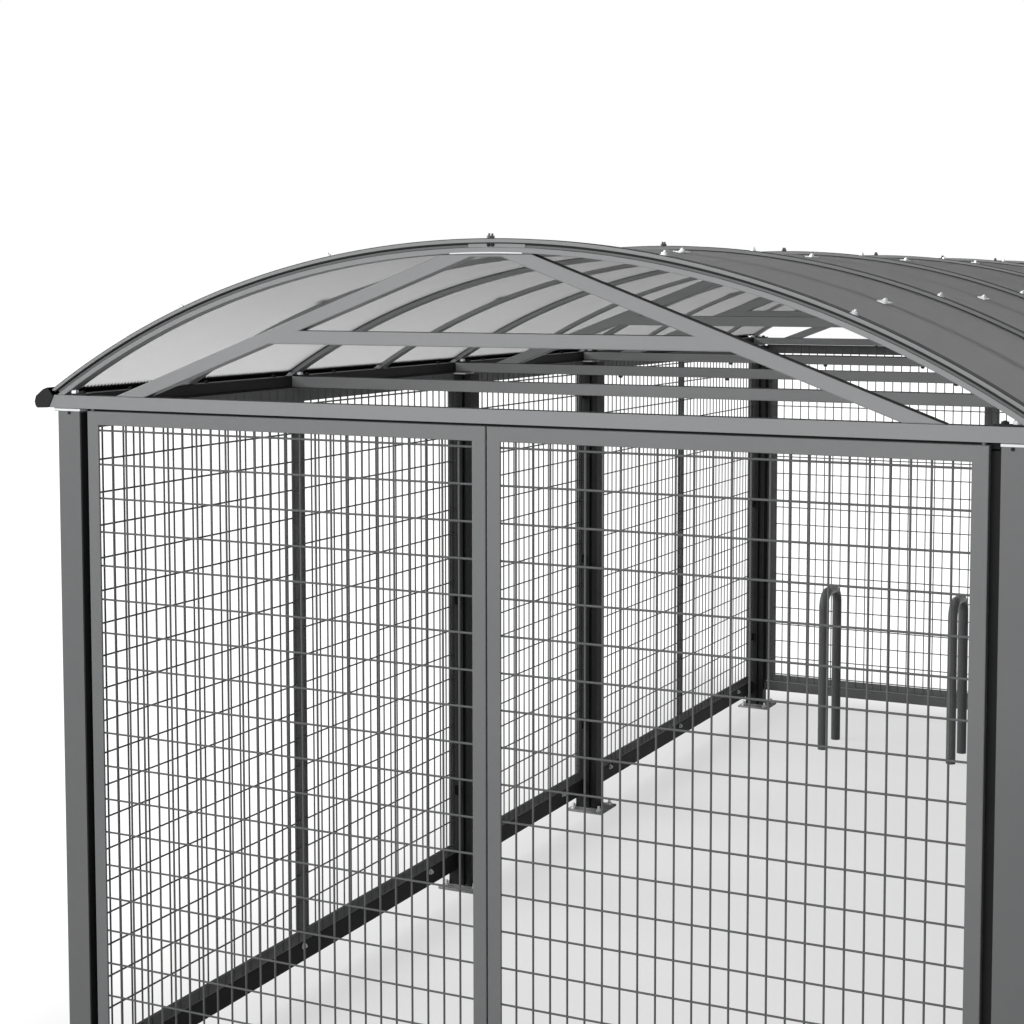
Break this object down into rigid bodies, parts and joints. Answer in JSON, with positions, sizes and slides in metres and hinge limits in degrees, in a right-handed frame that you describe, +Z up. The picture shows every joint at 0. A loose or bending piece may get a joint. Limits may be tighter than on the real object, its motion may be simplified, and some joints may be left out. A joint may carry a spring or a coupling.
{
  "type": "bike shelter",
  "caption": "Cycle shelter with a barrel-vault clear roof on grey steel arches, welded-mesh walls, a pair of mesh gates and hoops to lock cycles to.",
  "frame": {"origin": "on the ground under the middle of the plan", "axes": "+Z up, -Y out through the gates at the front, +X to the right of someone facing the gates"},
  "size_m": [3.024, 6.28, 2.6478],
  "materials": {
    "frame_grey": "satin powder coat",
    "mesh_grey": "satin powder coat",
    "clear_sheet": "clear fluted polycarbonate",
    "gutter_black": "matt",
    "hoop_steel": "satin powder coat"
  },
  "bodies": {
    "shelter": {"front_post_left": "frame_grey", "front_post_right": "frame_grey", "side_posts_left": "frame_grey", "side_posts_right": "frame_grey", "rear_post_left": "frame_grey", "rear_post_right": "frame_grey", "front_tie": "frame_grey", "cross_ties": "frame_grey", "eaves_rail_left": "frame_grey", "eaves_rail_right": "frame_grey", "front_truss": "frame_grey", "inner_trusses": "frame_grey", "rear_truss": "frame_grey", "arch_1": "frame_grey", "arch_2": "frame_grey", "arch_3": "frame_grey", "arch_4": "frame_grey", "arch_5": "frame_grey", "arch_6": "frame_grey", "mid_ribs": "frame_grey", "roof_sheet_1": "clear_sheet", "roof_sheet_2": "clear_sheet", "roof_sheet_3": "clear_sheet", "roof_sheet_4": "clear_sheet", "roof_sheet_5": "clear_sheet", "gutter_left": "gutter_black", "gutter_right": "gutter_black", "base_rail_left": "frame_grey", "base_rail_right": "frame_grey", "base_rail_rear": "frame_grey", "panel_left_1": "mesh_grey", "panel_left_2": "mesh_grey", "panel_left_3": "mesh_grey", "panel_left_4": "mesh_grey", "panel_left_5": "mesh_grey", "panel_right_1": "mesh_grey", "panel_right_2": "mesh_grey", "panel_right_3": "mesh_grey", "panel_right_4": "mesh_grey", "panel_right_5": "mesh_grey", "rear_panel_left": "mesh_grey", "rear_panel_right": "mesh_grey", "bike_hoops": "hoop_steel"},
    "left_gate": {"gate_leaf_left": "mesh_grey"},
    "right_gate": {"gate_leaf_right": "mesh_grey"}
  },
  "joints": [
    {"name": "left_gate_hinge", "type": "hinge", "parent": "shelter", "child": "left_gate", "pos_m": [-1.304, -3.078, 0], "axis": [0, 0, -1], "range_deg": [0, 100]},
    {"name": "right_gate_hinge", "type": "hinge", "parent": "shelter", "child": "right_gate", "pos_m": [1.304, -3.078, 0], "axis": [0, 0, 1], "range_deg": [0, 100]}
  ]
}
